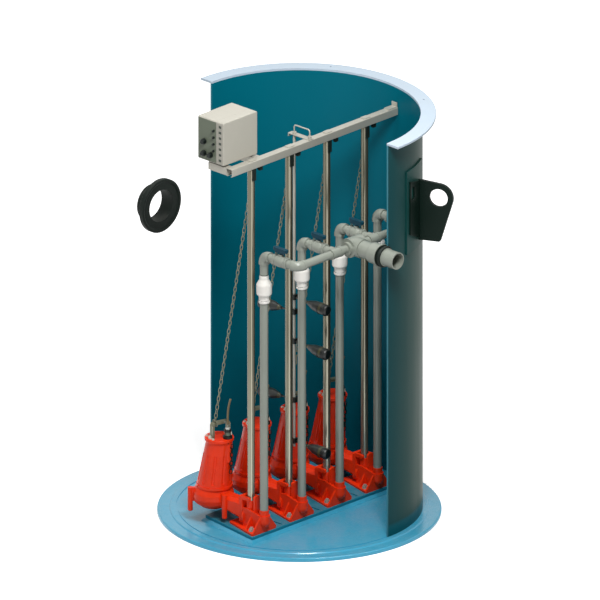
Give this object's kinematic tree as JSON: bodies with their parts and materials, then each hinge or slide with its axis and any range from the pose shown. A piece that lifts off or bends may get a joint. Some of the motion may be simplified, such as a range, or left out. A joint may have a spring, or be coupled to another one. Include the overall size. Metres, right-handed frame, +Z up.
{
  "type": "packaged grinder pump station",
  "caption": "Cut-away packaged lift station: submersible grinder pumps on slide-rail pedestals in a moulded basin with valves, manifold, floats and junction box.",
  "frame": {"origin": "basin axis at the underside of the base", "axes": "+Z up the basin axis; +X along the outlet pipe, away from the basin; +Y along the row of pumps, towards the kept half of the shell"},
  "size_m": [1.7415, 1.428, 2.272],
  "materials": {
    "basin_blue": "gel coat over laminate, satin",
    "basin_teal": "gel coat over laminate, glossy",
    "flange_pale": "gel coat, satin",
    "black_steel": "black paint, semi-gloss",
    "black_rubber": "moulded rubber, matte",
    "black_plastic": "moulded plastic, matte",
    "stainless": "brushed",
    "rail_steel": "drawn tube, bright",
    "pvc_grey": "pipe grade, satin",
    "pvc_white": "moulded, semi-gloss",
    "pump_red": "enamel over cast iron, glossy",
    "pump_hardware": "worn steel",
    "cable_rubber": "matte",
    "chain_steel": "galvanised",
    "rotor_steel": "machined",
    "lever_blue": "moulded, satin",
    "float_black": "moulded, semi-gloss",
    "box_beige": "moulded, satin",
    "terminal_grey": "moulded"
  },
  "bodies": {
    "root": {"base_pan": "basin_blue", "basin_shell": "basin_teal", "top_flange": "flange_pale", "floor_plate": "basin_blue", "lifting_lug": "black_steel", "inlet_hub": "black_rubber", "outlet_seal": "black_rubber", "anchor_bolts": "stainless", "rail_beam": "stainless", "beam_fittings": "stainless", "rail_hangers": "black_rubber", "manifold": "pvc_grey", "outlet_pipe": "pvc_grey", "pedestals": "pump_red", "guide_rails": "rail_steel", "risers": "pvc_grey", "check_valves": "pvc_white", "branches": "pvc_grey", "valve_bodies": "pvc_grey", "float_bracket": "stainless", "box_body": "box_beige", "box_glands": "black_plastic", "box_terminals": "terminal_grey"},
    "pump_1": {"volute_1": "pump_red", "motor_housing_1": "pump_red", "pump_top_1": "pump_hardware", "power_cable_1": "cable_rubber", "lifting_chain_1": "chain_steel"},
    "rotor_1": {"rotor_1": "rotor_steel"},
    "lever_1": {"valve_lever_1": "lever_blue"},
    "pump_2": {"volute_2": "pump_red", "motor_housing_2": "pump_red", "pump_top_2": "pump_hardware", "power_cable_2": "cable_rubber", "lifting_chain_2": "chain_steel"},
    "rotor_2": {"rotor_2": "rotor_steel"},
    "lever_2": {"valve_lever_2": "lever_blue"},
    "pump_3": {"volute_3": "pump_red", "motor_housing_3": "pump_red", "pump_top_3": "pump_hardware", "power_cable_3": "cable_rubber", "lifting_chain_3": "chain_steel"},
    "rotor_3": {"rotor_3": "rotor_steel"},
    "lever_3": {"valve_lever_3": "lever_blue"},
    "pump_4": {"volute_4": "pump_red", "motor_housing_4": "pump_red", "pump_top_4": "pump_hardware", "power_cable_4": "cable_rubber", "lifting_chain_4": "chain_steel"},
    "rotor_4": {"rotor_4": "rotor_steel"},
    "lever_4": {"valve_lever_4": "lever_blue"},
    "float_tree": {"float_rod": "stainless", "float_clamps": "black_plastic"},
    "float_1": {"float_1": "float_black"},
    "float_2": {"float_2": "float_black"},
    "float_3": {"float_3": "float_black"},
    "float_4": {"float_4": "float_black"},
    "float_5": {"float_5": "float_black"},
    "box_lid": {"box_lid": "box_beige"}
  },
  "joints": [
    {"name": "pump_1_lift", "type": "slide", "parent": "root", "child": "pump_1", "axis": [0, 0, 1], "range_m": [0, 1.2], "deforming": ["lifting_chain_1"]},
    {"name": "rotor_1_spin", "type": "hinge", "parent": "pump_1", "child": "rotor_1", "pos_m": [-0.17, -0.436, 0.15], "axis": [0, 0, 1], "continuous": true},
    {"name": "valve_1_turn", "type": "hinge", "parent": "root", "child": "lever_1", "pos_m": [0.293, -0.436, 1.59], "axis": [0, 0, 1], "range_deg": [0, 90]},
    {"name": "pump_2_lift", "type": "slide", "parent": "root", "child": "pump_2", "axis": [0, 0, 1], "range_m": [0, 1.2], "deforming": ["lifting_chain_2"]},
    {"name": "rotor_2_spin", "type": "hinge", "parent": "pump_2", "child": "rotor_2", "pos_m": [-0.17, -0.163, 0.15], "axis": [0, 0, 1], "continuous": true},
    {"name": "valve_2_turn", "type": "hinge", "parent": "root", "child": "lever_2", "pos_m": [0.293, -0.163, 1.59], "axis": [0, 0, 1], "range_deg": [0, 90]},
    {"name": "pump_3_lift", "type": "slide", "parent": "root", "child": "pump_3", "axis": [0, 0, 1], "range_m": [0, 1.2], "deforming": ["lifting_chain_3"]},
    {"name": "rotor_3_spin", "type": "hinge", "parent": "pump_3", "child": "rotor_3", "pos_m": [-0.17, 0.11, 0.15], "axis": [0, 0, 1], "continuous": true},
    {"name": "valve_3_turn", "type": "hinge", "parent": "root", "child": "lever_3", "pos_m": [0.293, 0.11, 1.59], "axis": [0, 0, 1], "range_deg": [0, 90]},
    {"name": "pump_4_lift", "type": "slide", "parent": "root", "child": "pump_4", "axis": [0, 0, 1], "range_m": [0, 1.2], "deforming": ["lifting_chain_4"]},
    {"name": "rotor_4_spin", "type": "hinge", "parent": "pump_4", "child": "rotor_4", "pos_m": [-0.17, 0.383, 0.15], "axis": [0, 0, 1], "continuous": true},
    {"name": "valve_4_turn", "type": "hinge", "parent": "root", "child": "lever_4", "pos_m": [0.293, 0.383, 1.59], "axis": [0, 0, 1], "range_deg": [0, 90]},
    {"name": "float_tree_lift", "type": "slide", "parent": "root", "child": "float_tree", "axis": [0, 0, 1], "range_m": [0, 0.6]},
    {"name": "float_1_swing", "type": "hinge", "parent": "float_tree", "child": "float_1", "pos_m": [0.01, -0.026, 1.156], "axis": [0, -1, 0], "range_deg": [-50, 30]},
    {"name": "float_2_swing", "type": "hinge", "parent": "float_tree", "child": "float_2", "pos_m": [-0.03, -0.026, 1.077], "axis": [0, 1, 0], "range_deg": [-50, 30]},
    {"name": "float_3_swing", "type": "hinge", "parent": "float_tree", "child": "float_3", "pos_m": [0.01, -0.026, 0.919], "axis": [0, -1, 0], "range_deg": [-50, 30]},
    {"name": "float_4_swing", "type": "hinge", "parent": "float_tree", "child": "float_4", "pos_m": [-0.03, -0.026, 0.603], "axis": [0, 1, 0], "range_deg": [-50, 30]},
    {"name": "float_5_swing", "type": "hinge", "parent": "float_tree", "child": "float_5", "pos_m": [0.01, -0.026, 0.383], "axis": [0, -1, 0], "range_deg": [-50, 30]},
    {"name": "box_lid_turn", "type": "hinge", "parent": "root", "child": "box_lid", "pos_m": [0.013, -0.361, 2.15], "axis": [0, 0, 1], "range_deg": [0, 110]}
  ]
}
